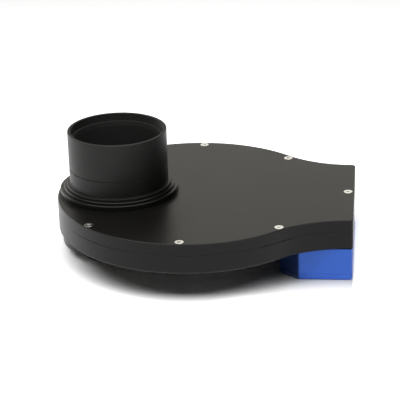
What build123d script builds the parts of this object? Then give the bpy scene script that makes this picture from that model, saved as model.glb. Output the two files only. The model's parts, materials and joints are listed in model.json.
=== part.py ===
"""Motorised optical filter wheel: seven 1.25 inch filters, 2 inch nosepiece, T-thread camera side.

Frame: millimetres, +Z up along the optical axis towards the telescope, origin on the optical axis at
the camera seat, +X from the optical axis through the carousel axis to the drive end.
"""
from build123d import *
from math import atan2, cos, degrees, pi, radians, sin, sqrt, tan
import os

os.makedirs("parts", exist_ok=True)

# ---------------------------------------------------------------- driving dimensions
# Filters in their threaded cells
filter_count = 7
cell_thread_radius = 14.05
cell_thread_length = 2.4
cell_rim_width = 0.95
cell_rim_height = 4.2
cell_spacing_gap = 2.98
cell_wall = 1.0
glass_thickness = 2.0
glass_ledge_width = 0.7
glass_seat_height = 1.6
retainer_height = 1.0
retainer_width = 0.8

# Toothed carousel and pinion
gear_module = 1.0
carousel_teeth = 120
pinion_teeth = 12
pressure_angle = 25.0
backlash = 0.16
root_clearance = 0.25
carousel_thickness = 3.0
carousel_floor_gap = 1.4
ceiling_gap = 0.7
pinion_overhang = 0.6
pinion_hub_radius = 4.2
pinion_hub_height = 3.6

# Carousel bearing, 8 x 16 x 5 mm, on its post
post_radius = 4.0
bearing_radius = 8.0
bearing_width = 5.0
bearing_ring_wall = 1.5
ball_radius = 1.1
ball_count = 8
cage_thickness = 0.4
cage_height = 3.2
hub_wall = 4.0
hub_lip_height = 1.0
hub_lip_width = 0.9
post_shoulder_width = 1.2
post_spigot_radius = 3.0
post_washer_width = 1.0
post_washer_height = 0.5
post_screw_head_radius = 2.6
post_screw_head_height = 1.2
post_screw_radius = 1.45
post_screw_length = 6.0

# Housing shells
housing_wall = 7.5
rim_clearance = 1.0
shoulder_radius = 50.0
narrow_half_width = 37.8
end_straight = 2.0
end_corner_radius = 1.8
upper_height = 6.4
floor_thickness = 3.0
cover_thickness = 3.0
lip_width = 1.5
lip_height = 1.4
bottom_chamfer = 0.8
seam_chamfer = 0.2
top_chamfer = 0.35
pinion_pocket_gap = 1.0

# Nosepiece, a 2 inch barrel, and the stepped ring under it
nosepiece_radius = 25.4
nosepiece_height = 33.2
mouth_wall = 1.7
mouth_depth = 3.75
relief_depth = 2.4
relief_step = 0.7
barrel_wall = 3.4
barrel_floor = 3.0
barrel_groove_height = 13.8
barrel_groove_width = 0.5
barrel_groove_depth = 0.3
collar_width = 1.6
collar_height = 1.3
spigot_inset = 4.5
spigot_wall = 2.4
ring_step_width = 1.6
ring_step_height = 1.1
ring_flange_width = 1.9
ring_flange_height = 2.8
ring_edge_chamfer = 0.3

# Camera side ring with the T-thread
camera_thread_step = 2.1
camera_thread_depth = 8.0
camera_stub_wall = 2.6
camera_flange_width = 6.3
camera_flange_thickness = 3.0

# Drive housing with its base cover
drive_cover_thickness = 2.8
drive_reach = 19.6
drive_inset = 0.3
corner_cut_x = 9.6
corner_cut_y = 7.4
drive_wall = 2.2
drive_corner_radius = 1.5
drive_edge_radius = 0.8
screw_boss_radius = 3.4
screw_boss_blend = 0.9

# Gear motor and its shaft
motor_radius = 10.0
motor_height = 11.5
motor_floor_gap = 1.4
motor_plate_thickness = 1.0
motor_ear_radius = 3.0
motor_ear_gap = 0.6
motor_boss_radius = 3.5
motor_boss_height = 1.6
shaft_radius = 1.5
grub_radius = 1.0

# Controller board, its sockets and chips; sensor board and magnet
board_thickness = 1.6
board_stand_height = 1.8
board_edge_gap = 0.4
board_motor_gap = 1.2
board_rim = 1.7
board_post_radius = 2.2
board_screw_inset = 4.0
board_screw_side_gap = 22.5
socket_side_gap = 14.5
socket_wall = 0.5
usb_width = 7.7
usb_height = 4.0
usb_depth = 9.0
usb_tongue_width = 4.7
usb_tongue_height = 0.8
power_width = 9.0
power_height = 9.0
power_depth = 13.0
power_face_radius = 4.0
power_hole_radius = 3.1
power_pin_radius = 1.0
chip_side_gap = 13.5
chip_setback = 2.0
chip_height = 1.2
controller_chip_size = 7.0
driver_chip_length = 6.5
driver_chip_width = 5.0
sensor_inset = 10.0
sensor_board_length = 13.0
sensor_board_width = 8.0
sensor_board_thickness = 1.0
sensor_pocket_depth = 1.2
sensor_chip_size = 3.0
sensor_chip_height = 0.8
magnet_radius = 1.5
magnet_height = 1.5

# Fasteners: countersunk M2.5 with hexagon socket, and small M2 pan heads
screw_radius = 1.2
screw_head_radius = 2.35
socket_radius = 0.85
socket_depth = 0.8
screw_edge_distance = 3.0
end_screw_inset = 3.2
cover_screw_length = 11.0
plate_screw_grip = 2.6
ring_screw_count = 4
ring_screw_start = 45.0
small_screw_radius = 0.95
small_head_radius = 1.9
small_head_height = 1.2
small_screw_grip = 2.2

# Clearances
thread_gap = 0.05
slide_gap = 0.05
hole_gap = 0.2
head_gap = 0.05
window_gap = 0.25

# ---------------------------------------------------------------- derived places
# Heights, from the table up: motor in the drive housing, floor, carousel, ceiling, cover
motor_bottom = drive_cover_thickness + motor_floor_gap
motor_plate_bottom = motor_bottom + motor_height
body_bottom = motor_plate_bottom + motor_plate_thickness
floor_top = body_bottom + floor_thickness
carousel_bottom = floor_top + carousel_floor_gap
carousel_top = carousel_bottom + carousel_thickness
cell_bottom = carousel_top - cell_thread_length
cell_top = carousel_top + cell_rim_height
glass_bottom = cell_bottom + glass_seat_height
glass_top = glass_bottom + glass_thickness
bearing_bottom = carousel_bottom + hub_lip_height
bearing_top = bearing_bottom + bearing_width
washer_top = bearing_top + post_washer_height
ceiling = max(cell_top, washer_top + post_screw_head_height) + ceiling_gap
body_top = ceiling + cover_thickness
parting = body_top - upper_height
ring_flange_top = body_top + ring_flange_height
ring_top = ring_flange_top + ring_step_height
collar_top = ring_top + collar_height
barrel_floor_top = ring_top + barrel_floor
nosepiece_top = body_top + nosepiece_height
mouth_floor = nosepiece_top - mouth_depth
relief_floor = mouth_floor - relief_depth
groove_center = body_top + barrel_groove_height
camera_flange_bottom = body_bottom - camera_flange_thickness

# Radii of the light path and what surrounds it
spigot_radius = nosepiece_radius - spigot_inset
light_path_radius = spigot_radius - spigot_wall
barrel_bore_radius = nosepiece_radius - barrel_wall
relief_radius = barrel_bore_radius + relief_step
mouth_radius = nosepiece_radius - mouth_wall
collar_radius = nosepiece_radius + collar_width
ring_step_radius = collar_radius + ring_step_width
ring_flange_radius = ring_step_radius + ring_flange_width
ring_bore_radius = spigot_radius + thread_gap
ring_screw_circle = (ring_bore_radius + collar_radius) / 2
camera_thread_radius = light_path_radius + camera_thread_step
camera_stub_radius = camera_thread_radius + camera_stub_wall
camera_flange_radius = camera_stub_radius + camera_flange_width
camera_screw_circle = (camera_stub_radius + camera_flange_radius) / 2

# Carousel: the filters just clear each other, and the pinion meshes on the far side
cell_rim_radius = cell_thread_radius + cell_rim_width
glass_radius = cell_thread_radius - cell_wall - slide_gap
filter_pitch_radius = (cell_rim_radius + cell_spacing_gap / 2) / sin(pi / filter_count)
hub_radius = bearing_radius + hub_wall
ball_circle = (post_radius + bearing_radius) / 2
ball_center = bearing_bottom + bearing_width / 2
gear_radius = gear_module * carousel_teeth / 2
pinion_pitch_radius = gear_module * pinion_teeth / 2
pinion_tip_radius = pinion_pitch_radius + gear_module
pinion_bottom = carousel_bottom - pinion_overhang
pinion_top = carousel_top + pinion_overhang
shaft_top = pinion_top + pinion_hub_height
carousel_x = filter_pitch_radius
pinion_x = carousel_x + gear_radius + pinion_pitch_radius
sensor_x = carousel_x + gear_radius - sensor_inset

# Housing outline
cavity_radius = gear_radius + gear_module + rim_clearance
pinion_pocket_radius = pinion_tip_radius + pinion_pocket_gap
housing_radius = cavity_radius + housing_wall
shoulder_rise = narrow_half_width + shoulder_radius
shoulder_run = sqrt((housing_radius + shoulder_radius) ** 2 - shoulder_rise**2)
shoulder_angle = degrees(atan2(shoulder_rise, shoulder_run))
shoulder_end_x = carousel_x + shoulder_run
end_x = shoulder_end_x + end_straight
screw_circle = housing_radius - screw_edge_distance
cover_screw_points = [
    (carousel_x + screw_circle * cos(radians(angle)), screw_circle * sin(radians(angle)))
    for angle in (45, 90, 135, 225, 270, 315)
] + [(end_x - end_screw_inset, 0)]

# Drive housing, motor screws and board
drive_right = end_x - drive_inset
drive_left = pinion_x - drive_reach
drive_half_width = narrow_half_width - drive_inset
screw_boss_inset = drive_wall + screw_boss_radius - screw_boss_blend
drive_screw_y = drive_half_width - screw_boss_inset
drive_screw_points = [
    (x, side * drive_screw_y)
    for x in (drive_left + corner_cut_x + screw_boss_radius / 2, drive_right - screw_boss_inset)
    for side in (-1, 1)
]
motor_screw_y = motor_radius + small_head_radius + motor_ear_gap
motor_screw_points = [(pinion_x, -motor_screw_y), (pinion_x, motor_screw_y)]
board_bottom = drive_cover_thickness + board_stand_height
board_top = board_bottom + board_thickness
board_right = drive_right - drive_wall - board_edge_gap
board_left = pinion_x - motor_radius - board_motor_gap - board_rim
board_screw_points = [
    (x, side * (drive_half_width - board_screw_side_gap))
    for x in (board_left + board_screw_inset, board_right - board_screw_inset)
    for side in (-1, 1)
]
board_chip_x = board_left + controller_chip_size / 2 + chip_setback
chip_y = drive_half_width - chip_side_gap
socket_y = drive_half_width - socket_side_gap
usb_middle = board_top + usb_height / 2
power_middle = board_top + power_height / 2


# ---------------------------------------------------------------- shared outlines
def gear_outline(teeth, center_x, phase_degrees):
    """Closed tooth outline of a spur gear about (center_x, 0), its first tooth at the phase."""
    pitch_radius = gear_module * teeth / 2
    base_radius = pitch_radius * cos(radians(pressure_angle))
    tip_radius = pitch_radius + gear_module
    root_radius = pitch_radius - gear_module - root_clearance
    half_tooth = pi / (2 * teeth) - backlash / (4 * pitch_radius)
    involute_at_pitch = tan(radians(pressure_angle)) - radians(pressure_angle)

    def half_angle(radius):
        """Half the angle that a tooth spans at a radius, from the involute of the base circle."""
        roll = sqrt(max((radius / base_radius) ** 2 - 1, 0))
        return half_tooth + involute_at_pitch - (roll - atan2(roll, 1))

    flank_start = max(base_radius, root_radius)
    flank = [(root_radius, half_angle(flank_start))]
    if base_radius > root_radius:
        flank.append((flank_start, half_angle(flank_start)))
    flank.append((pitch_radius, half_angle(pitch_radius)))
    flank.append((tip_radius, half_angle(tip_radius)))

    points = []
    for tooth in range(teeth):
        middle = radians(phase_degrees) + 2 * pi * tooth / teeth
        for radius, angle in flank:
            points.append((center_x + radius * cos(middle - angle), radius * sin(middle - angle)))
        for radius, angle in reversed(flank):
            points.append((center_x + radius * cos(middle + angle), radius * sin(middle + angle)))
    return points


def ring_points(center_radius, count, center=(0, 0), start=0.0):
    """Points spaced evenly on a circle."""
    return [
        (
            center[0] + center_radius * cos(radians(start) + 2 * pi * step / count),
            center[1] + center_radius * sin(radians(start) + 2 * pi * step / count),
        )
        for step in range(count)
    ]


def countersunk_screw(length):
    """Hexagon socket countersunk screw, top of its head at the origin, shank down -Z."""
    cone = screw_head_radius - screw_radius
    with BuildPart() as screw:
        with BuildSketch(Plane.XZ):
            with BuildLine():
                Polyline(
                    (0, 0),
                    (screw_head_radius, 0),
                    (screw_radius, -cone),
                    (screw_radius, -length),
                    (0, -length),
                    close=True,
                )
            make_face()
        revolve(axis=Axis.Z)
        with BuildSketch():
            RegularPolygon(socket_radius, 6)
        extrude(amount=-socket_depth, mode=Mode.SUBTRACT)
    return screw.part


def pan_screw(length):
    """Small pan-head screw, underside of its head at the origin, shank down -Z."""
    with BuildPart() as screw:
        with BuildSketch():
            Circle(small_head_radius)
        extrude(amount=small_head_height)
        with BuildSketch():
            Circle(small_screw_radius)
        extrude(amount=-length)
        with BuildSketch(Plane.XY.offset(small_head_height)):
            RegularPolygon(small_screw_radius, 6)
        extrude(amount=-small_head_height / 2, mode=Mode.SUBTRACT)
    return screw.part


# Plan outline of both shells: round end, concave shoulders, squared narrow end
with BuildSketch() as housing_outline:
    with BuildLine():
        CenterArc((carousel_x, 0), housing_radius, shoulder_angle, 180 - shoulder_angle)
        CenterArc(
            (shoulder_end_x, shoulder_rise),
            shoulder_radius,
            180 + shoulder_angle,
            90 - shoulder_angle,
        )
        Line((shoulder_end_x, narrow_half_width), (end_x, narrow_half_width))
        Line((end_x, narrow_half_width), (end_x, 0))
        mirror(about=Plane.XZ)
    make_face()
    end_corners = housing_outline.vertices().filter_by(lambda v: v.X > end_x - 0.01 and abs(v.Y) > 1)
    fillet(end_corners, min(end_corner_radius, 0.95 * end_straight))

# Cavity for the carousel, with a bay for the pinion
with BuildSketch() as cavity_outline:
    with Locations((carousel_x, 0)):
        Circle(cavity_radius)
    with Locations((pinion_x, 0)):
        Circle(pinion_pocket_radius)
        Rectangle(
            pinion_x - carousel_x - hub_radius,
            2 * pinion_pocket_radius,
            align=(Align.MAX, Align.CENTER),
        )

with BuildSketch() as lip_outline:
    add(cavity_outline.sketch)
    offset(amount=lip_width)

with BuildSketch() as rabbet_outline:
    add(cavity_outline.sketch)
    offset(amount=lip_width + slide_gap)

# Plan outline of the drive housing: inner corners cut back under the round body
with BuildSketch() as drive_outline:
    with BuildLine():
        Polyline(
            (drive_right, -drive_half_width),
            (drive_right, drive_half_width),
            (drive_left + corner_cut_x, drive_half_width),
            (drive_left, drive_half_width - corner_cut_y),
            (drive_left, corner_cut_y - drive_half_width),
            (drive_left + corner_cut_x, -drive_half_width),
            close=True,
        )
    make_face()
    fillet(drive_outline.vertices().group_by(Axis.X)[-1], drive_corner_radius)

with BuildSketch() as drive_inner_outline:
    add(drive_outline.sketch)
    offset(amount=-drive_wall, kind=Kind.INTERSECTION)

# ---------------------------------------------------------------- housing shells
with BuildPart() as lower_housing:
    with BuildSketch(Plane.XY.offset(body_bottom)):
        add(housing_outline.sketch)
    extrude(amount=parting - body_bottom)
    chamfer(lower_housing.faces().sort_by(Axis.Z)[0].edges(), bottom_chamfer)
    chamfer(lower_housing.faces().sort_by(Axis.Z)[-1].edges(), seam_chamfer)
    with BuildSketch(Plane.XY.offset(parting)):
        add(lip_outline.sketch)
    extrude(amount=lip_height)
    with BuildSketch(Plane.XY.offset(floor_top)):
        add(cavity_outline.sketch)
    extrude(amount=body_top - floor_top, mode=Mode.SUBTRACT)
    with BuildSketch(Plane.XY.offset(body_bottom)):
        Circle(light_path_radius)
        with Locations((carousel_x, 0)):
            Circle(post_spigot_radius + slide_gap)
        with Locations((pinion_x, 0)):
            Circle(motor_boss_radius + hole_gap)
        with Locations(*ring_points(camera_screw_circle, ring_screw_count, start=ring_screw_start)):
            Circle(screw_radius + thread_gap)
    extrude(amount=floor_thickness, mode=Mode.SUBTRACT)
    with BuildSketch(Plane.XY.offset(body_bottom)):
        with Locations(*motor_screw_points):
            Circle(small_screw_radius + thread_gap)
    extrude(amount=small_screw_grip + hole_gap, mode=Mode.SUBTRACT)
    with BuildSketch(Plane.XY.offset(body_bottom)):
        with Locations(*drive_screw_points):
            Circle(screw_radius + thread_gap)
    extrude(amount=floor_thickness, mode=Mode.SUBTRACT)
    with BuildSketch(Plane.XY.offset(parting)):
        with Locations(*cover_screw_points):
            Circle(screw_radius + thread_gap)
    extrude(amount=upper_height - cover_screw_length - hole_gap, mode=Mode.SUBTRACT)
    with BuildSketch(Plane.XY.offset(floor_top)):
        with Locations((sensor_x, 0)):
            Rectangle(sensor_board_width + 2 * slide_gap, sensor_board_length + 2 * slide_gap)
    extrude(amount=-sensor_pocket_depth, mode=Mode.SUBTRACT)

with BuildPart() as top_cover:
    with BuildSketch(Plane.XY.offset(parting)):
        add(housing_outline.sketch)
    extrude(amount=upper_height)
    chamfer(top_cover.faces().sort_by(Axis.Z)[0].edges(), seam_chamfer)
    chamfer(top_cover.faces().sort_by(Axis.Z)[-1].edges(), top_chamfer)
    with BuildSketch(Plane.XY.offset(parting)):
        add(cavity_outline.sketch)
    extrude(amount=ceiling - parting, mode=Mode.SUBTRACT)
    with BuildSketch(Plane.XY.offset(parting)):
        add(rabbet_outline.sketch)
    extrude(amount=lip_height + slide_gap, mode=Mode.SUBTRACT)
    with BuildSketch(Plane.XY.offset(ceiling)):
        Circle(light_path_radius)
        with Locations(*ring_points(ring_screw_circle, ring_screw_count, start=ring_screw_start)):
            Circle(screw_radius + thread_gap)
    extrude(amount=cover_thickness, mode=Mode.SUBTRACT)
    with Locations(Plane.XY.offset(body_top)):
        with Locations(*cover_screw_points):
            CounterSinkHole(screw_radius + hole_gap, screw_head_radius + head_gap, depth=upper_height)

with BuildPart() as cover_screws:
    with Locations(Plane.XY.offset(body_top)):
        with Locations(*cover_screw_points):
            add(countersunk_screw(cover_screw_length))

# ---------------------------------------------------------------- telescope side
with BuildPart() as top_ring:
    with BuildSketch(Plane.XZ):
        with BuildLine():
            Polyline(
                (ring_bore_radius, body_top),
                (ring_flange_radius, body_top),
                (ring_flange_radius, ring_flange_top - ring_edge_chamfer),
                (ring_flange_radius - ring_edge_chamfer, ring_flange_top),
                (ring_step_radius, ring_flange_top),
                (ring_step_radius, ring_top - ring_edge_chamfer),
                (ring_step_radius - ring_edge_chamfer, ring_top),
                (ring_bore_radius, ring_top),
                close=True,
            )
        make_face()
    revolve(axis=Axis.Z)
    with Locations(Plane.XY.offset(ring_top)):
        with Locations(*ring_points(ring_screw_circle, ring_screw_count, start=ring_screw_start)):
            CounterSinkHole(screw_radius + hole_gap, screw_head_radius + head_gap)

with BuildPart() as top_ring_screws:
    with Locations(Plane.XY.offset(ring_top)):
        with Locations(*ring_points(ring_screw_circle, ring_screw_count, start=ring_screw_start)):
            add(countersunk_screw(ring_top - body_top + plate_screw_grip))

with BuildPart() as nosepiece:
    with BuildSketch(Plane.XZ):
        with BuildLine():
            Polyline(
                (light_path_radius, body_top + slide_gap),
                (spigot_radius, body_top + slide_gap),
                (spigot_radius, ring_top),
                (collar_radius, ring_top),
                (collar_radius, collar_top - ring_edge_chamfer),
                (collar_radius - ring_edge_chamfer, collar_top),
                (nosepiece_radius, collar_top),
                (nosepiece_radius, groove_center - barrel_groove_width / 2),
                (nosepiece_radius - barrel_groove_depth, groove_center),
                (nosepiece_radius, groove_center + barrel_groove_width / 2),
                (nosepiece_radius, nosepiece_top - ring_edge_chamfer),
                (nosepiece_radius - ring_edge_chamfer, nosepiece_top),
                (mouth_radius + ring_edge_chamfer, nosepiece_top),
                (mouth_radius, nosepiece_top - ring_edge_chamfer),
                (mouth_radius, mouth_floor),
                (relief_radius, mouth_floor),
                (relief_radius, relief_floor),
                (barrel_bore_radius, relief_floor),
                (barrel_bore_radius, barrel_floor_top),
                (light_path_radius, barrel_floor_top),
                close=True,
            )
        make_face()
    revolve(axis=Axis.Z)

# ---------------------------------------------------------------- camera side
with BuildPart() as camera_ring:
    with BuildSketch(Plane.XZ):
        with BuildLine():
            Polyline(
                (camera_thread_radius, 0),
                (camera_stub_radius - ring_edge_chamfer, 0),
                (camera_stub_radius, ring_edge_chamfer),
                (camera_stub_radius, camera_flange_bottom),
                (camera_flange_radius - ring_edge_chamfer, camera_flange_bottom),
                (camera_flange_radius, camera_flange_bottom + ring_edge_chamfer),
                (camera_flange_radius, body_bottom),
                (light_path_radius, body_bottom),
                (light_path_radius, camera_thread_depth),
                (camera_thread_radius, camera_thread_depth),
                close=True,
            )
        make_face()
    revolve(axis=Axis.Z)
    with Locations(Plane.XY.offset(camera_flange_bottom) * Rotation(180, 0, 0)):
        with Locations(*ring_points(camera_screw_circle, ring_screw_count, start=ring_screw_start)):
            CounterSinkHole(
                screw_radius + hole_gap, screw_head_radius + head_gap, depth=camera_flange_thickness
            )

with BuildPart() as camera_ring_screws:
    with Locations(Plane.XY.offset(camera_flange_bottom) * Rotation(180, 0, 0)):
        with Locations(*ring_points(camera_screw_circle, ring_screw_count, start=ring_screw_start)):
            add(countersunk_screw(camera_flange_thickness + plate_screw_grip))

# ---------------------------------------------------------------- carousel and filters
filter_points = ring_points(filter_pitch_radius, filter_count, (carousel_x, 0), start=180)

with BuildPart() as carousel:
    with BuildSketch(Plane.XY.offset(carousel_bottom)):
        with BuildLine():
            Polyline(*gear_outline(carousel_teeth, carousel_x, 0), close=True)
        make_face()
        with Locations(*filter_points):
            Circle(cell_thread_radius + thread_gap, mode=Mode.SUBTRACT)
    extrude(amount=carousel_thickness)
    with BuildSketch(Plane.XY.offset(carousel_bottom)):
        with Locations((carousel_x, 0)):
            Circle(hub_radius)
    extrude(amount=bearing_top - carousel_bottom)
    with BuildSketch(Plane.XY.offset(carousel_bottom)):
        with Locations((carousel_x, 0)):
            Circle(bearing_radius - hub_lip_width)
    extrude(amount=hub_lip_height, mode=Mode.SUBTRACT)
    with BuildSketch(Plane.XY.offset(bearing_bottom)):
        with Locations((carousel_x, 0)):
            Circle(bearing_radius)
    extrude(amount=bearing_width, mode=Mode.SUBTRACT)
    with BuildSketch(Plane.XY.offset(carousel_bottom)):
        with Locations((sensor_x, 0)):
            Circle(magnet_radius + slide_gap)
    extrude(amount=magnet_height, mode=Mode.SUBTRACT)

with BuildPart() as home_magnet:
    with BuildSketch(Plane.XY.offset(carousel_bottom)):
        with Locations((sensor_x, 0)):
            Circle(magnet_radius)
    extrude(amount=magnet_height)

# One filter, made once on the optical axis: threaded cell, glass on its ledge, retaining ring
with BuildPart() as filter_cell:
    with BuildSketch(Plane.XZ):
        with BuildLine():
            Polyline(
                (glass_radius - glass_ledge_width, cell_bottom),
                (cell_thread_radius, cell_bottom),
                (cell_thread_radius, carousel_top),
                (cell_rim_radius, carousel_top),
                (cell_rim_radius, cell_top),
                (glass_radius + slide_gap, cell_top),
                (glass_radius + slide_gap, glass_bottom),
                (glass_radius - glass_ledge_width, glass_bottom),
                close=True,
            )
        make_face()
    revolve(axis=Axis.Z)

with BuildPart() as filter_glass:
    with BuildSketch(Plane.XY.offset(glass_bottom)):
        Circle(glass_radius)
    extrude(amount=glass_thickness)

with BuildPart() as filter_retainer:
    with BuildSketch(Plane.XY.offset(glass_top)):
        Circle(glass_radius)
        Circle(glass_radius - retainer_width, mode=Mode.SUBTRACT)
    extrude(amount=retainer_height)

with BuildPart() as filter_retainers:
    with Locations(*filter_points):
        add(filter_retainer.part)

# ---------------------------------------------------------------- carousel bearing and post
with BuildPart() as bearing_outer_ring:
    with BuildSketch(Plane.XY.offset(bearing_bottom)):
        with Locations((carousel_x, 0)):
            Circle(bearing_radius - thread_gap / 2)
            Circle(bearing_radius - bearing_ring_wall, mode=Mode.SUBTRACT)
    extrude(amount=bearing_width)
    with BuildSketch(Plane.XZ):
        with Locations((carousel_x + ball_circle, ball_center)):
            Circle(ball_radius + slide_gap)
    revolve(axis=Axis((carousel_x, 0, 0), (0, 0, 1)), mode=Mode.SUBTRACT)

with BuildPart() as bearing_inner_ring:
    with BuildSketch(Plane.XY.offset(bearing_bottom)):
        with Locations((carousel_x, 0)):
            Circle(post_radius + bearing_ring_wall)
            Circle(post_radius + thread_gap / 2, mode=Mode.SUBTRACT)
    extrude(amount=bearing_width)
    with BuildSketch(Plane.XZ):
        with Locations((carousel_x + ball_circle, ball_center)):
            Circle(ball_radius + slide_gap)
    revolve(axis=Axis((carousel_x, 0, 0), (0, 0, 1)), mode=Mode.SUBTRACT)

with BuildPart() as bearing_balls:
    with Locations(Plane.XY.offset(ball_center)):
        with Locations(*ring_points(ball_circle, ball_count, (carousel_x, 0))):
            Sphere(ball_radius)

with BuildPart() as bearing_cage:
    with BuildSketch(Plane.XY.offset(ball_center - cage_height / 2)):
        with Locations((carousel_x, 0)):
            Circle(ball_circle + cage_thickness / 2)
            Circle(ball_circle - cage_thickness / 2, mode=Mode.SUBTRACT)
    extrude(amount=cage_height)
    for point in ring_points(1.0, ball_count):
        pocket_plane = Plane(origin=(carousel_x, 0, ball_center), z_dir=(point[0], point[1], 0))
        with BuildSketch(pocket_plane):
            Circle(ball_radius + slide_gap)
        extrude(amount=ball_circle + cage_thickness, mode=Mode.SUBTRACT)

with BuildPart() as carousel_post:
    with BuildSketch(Plane.XY.offset(body_bottom)):
        with Locations((carousel_x, 0)):
            Circle(post_spigot_radius)
    extrude(amount=floor_thickness)
    with BuildSketch(Plane.XY.offset(floor_top)):
        with Locations((carousel_x, 0)):
            Circle(post_radius + post_shoulder_width)
    extrude(amount=bearing_bottom - floor_top)
    with BuildSketch(Plane.XY.offset(bearing_bottom)):
        with Locations((carousel_x, 0)):
            Circle(post_radius)
    extrude(amount=bearing_width)
    with BuildSketch(Plane.XY.offset(bearing_top)):
        with Locations((carousel_x, 0)):
            Circle(post_screw_radius + thread_gap)
    extrude(amount=-post_screw_length, mode=Mode.SUBTRACT)

with BuildPart() as post_washer:
    with BuildSketch(Plane.XY.offset(bearing_top)):
        with Locations((carousel_x, 0)):
            Circle(post_radius + post_washer_width)
            Circle(post_screw_radius + hole_gap, mode=Mode.SUBTRACT)
    extrude(amount=post_washer_height)

with BuildPart() as post_screw:
    with BuildSketch(Plane.XY.offset(washer_top)):
        with Locations((carousel_x, 0)):
            Circle(post_screw_head_radius)
            RegularPolygon(post_screw_radius, 6, mode=Mode.SUBTRACT)
    extrude(amount=post_screw_head_height)
    with BuildSketch(Plane.XY.offset(washer_top + post_screw_head_height / 2)):
        with Locations((carousel_x, 0)):
            Circle(post_screw_radius + slide_gap)
    extrude(amount=slide_gap - post_screw_length, mode=Mode.ADD)

# ---------------------------------------------------------------- drive train
with BuildPart() as gear_motor:
    with BuildSketch(Plane.XY.offset(motor_bottom)):
        with Locations((pinion_x, 0)):
            Circle(motor_radius)
    extrude(amount=motor_height)
    fillet(gear_motor.faces().sort_by(Axis.Z)[0].edges(), motor_plate_thickness)
    with BuildSketch(Plane.XY.offset(motor_plate_bottom)):
        with Locations((pinion_x, 0)):
            Circle(motor_radius)
            SlotOverall(2 * (motor_screw_y + motor_ear_radius), 2 * motor_ear_radius, rotation=90)
        with Locations(*motor_screw_points):
            Circle(small_screw_radius + hole_gap, mode=Mode.SUBTRACT)
    extrude(amount=motor_plate_thickness)
    with BuildSketch(Plane.XY.offset(body_bottom)):
        with Locations((pinion_x, 0)):
            Circle(motor_boss_radius)
    extrude(amount=motor_boss_height)
    with BuildSketch(Plane.XY.offset(body_bottom + motor_boss_height)):
        with Locations((pinion_x, 0)):
            Circle(shaft_radius + slide_gap)
    extrude(amount=-motor_boss_height - motor_plate_thickness, mode=Mode.SUBTRACT)

with BuildPart() as motor_screws:
    with Locations(Plane.XY.offset(motor_plate_bottom) * Rotation(180, 0, 0)):
        with Locations(*motor_screw_points):
            add(pan_screw(motor_plate_thickness + small_screw_grip))

with BuildPart() as motor_shaft:
    with BuildSketch(Plane.XY.offset(motor_plate_bottom + slide_gap)):
        with Locations((pinion_x, 0)):
            Circle(shaft_radius)
    extrude(amount=shaft_top - motor_plate_bottom - slide_gap)

with BuildPart() as drive_pinion:
    with BuildSketch(Plane.XY.offset(pinion_bottom)):
        with BuildLine():
            Polyline(*gear_outline(pinion_teeth, pinion_x, 180 + 180 / pinion_teeth), close=True)
        make_face()
    extrude(amount=pinion_top - pinion_bottom)
    with BuildSketch(Plane.XY.offset(pinion_top)):
        with Locations((pinion_x, 0)):
            Circle(pinion_hub_radius)
    extrude(amount=pinion_hub_height)
    with BuildSketch(Plane.XY.offset(pinion_bottom)):
        with Locations((pinion_x, 0)):
            Circle(shaft_radius + slide_gap / 2)
    extrude(amount=shaft_top - pinion_bottom, mode=Mode.SUBTRACT)
    with BuildSketch(Plane.XZ):
        with Locations((pinion_x, pinion_top + pinion_hub_height / 2)):
            Circle(grub_radius + slide_gap / 2)
    extrude(amount=pinion_hub_radius + grub_radius, mode=Mode.SUBTRACT)

with BuildPart() as pinion_grub_screw:
    with BuildSketch(Plane.XZ.offset(shaft_radius + slide_gap)):
        with Locations((pinion_x, pinion_top + pinion_hub_height / 2)):
            Circle(grub_radius)
    extrude(amount=pinion_hub_radius - shaft_radius - 2 * slide_gap)

# ---------------------------------------------------------------- drive housing
with BuildPart() as drive_housing:
    with BuildSketch(Plane.XY.offset(drive_cover_thickness)):
        add(drive_outline.sketch)
    extrude(amount=body_bottom - drive_cover_thickness)
    chamfer(drive_housing.faces().sort_by(Axis.Z)[0].edges(), seam_chamfer)
    with BuildSketch(Plane.XY.offset(drive_cover_thickness)):
        add(drive_inner_outline.sketch)
        with Locations(*drive_screw_points):
            Circle(screw_boss_radius, mode=Mode.SUBTRACT)
    extrude(amount=body_bottom - drive_cover_thickness, mode=Mode.SUBTRACT)
    with BuildSketch(Plane.XY.offset(drive_cover_thickness)):
        with Locations(*drive_screw_points):
            Circle(screw_radius + hole_gap)
    extrude(amount=body_bottom - drive_cover_thickness, mode=Mode.SUBTRACT)
    with BuildSketch(Plane.YZ.offset(drive_right)):
        with Locations((socket_y, usb_middle)):
            Rectangle(usb_width + 2 * window_gap, usb_height + 2 * window_gap)
        with Locations((-socket_y, power_middle)):
            Circle(power_face_radius + window_gap)
    extrude(amount=-2 * drive_wall, mode=Mode.SUBTRACT)

with BuildPart() as drive_cover:
    with BuildSketch():
        add(drive_outline.sketch)
    extrude(amount=drive_cover_thickness)
    chamfer(drive_cover.faces().sort_by(Axis.Z)[-1].edges(), seam_chamfer)
    fillet(drive_cover.faces().sort_by(Axis.Z)[0].edges(), drive_edge_radius)
    with Locations(Plane.XY * Rotation(180, 0, 0)):
        with Locations(*drive_screw_points):
            CounterSinkHole(
                screw_radius + hole_gap, screw_head_radius + head_gap, depth=drive_cover_thickness
            )
    with BuildSketch(Plane.XY.offset(drive_cover_thickness)):
        with Locations(*board_screw_points):
            Circle(board_post_radius)
    extrude(amount=board_stand_height)
    with BuildSketch(Plane.XY.offset(board_bottom)):
        with Locations(*board_screw_points):
            Circle(small_screw_radius + thread_gap)
    extrude(amount=-small_screw_grip - slide_gap, mode=Mode.SUBTRACT)

with BuildPart() as drive_cover_screws:
    with Locations(Plane.XY * Rotation(180, 0, 0)):
        with Locations(*drive_screw_points):
            add(countersunk_screw(body_bottom + plate_screw_grip))

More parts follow.
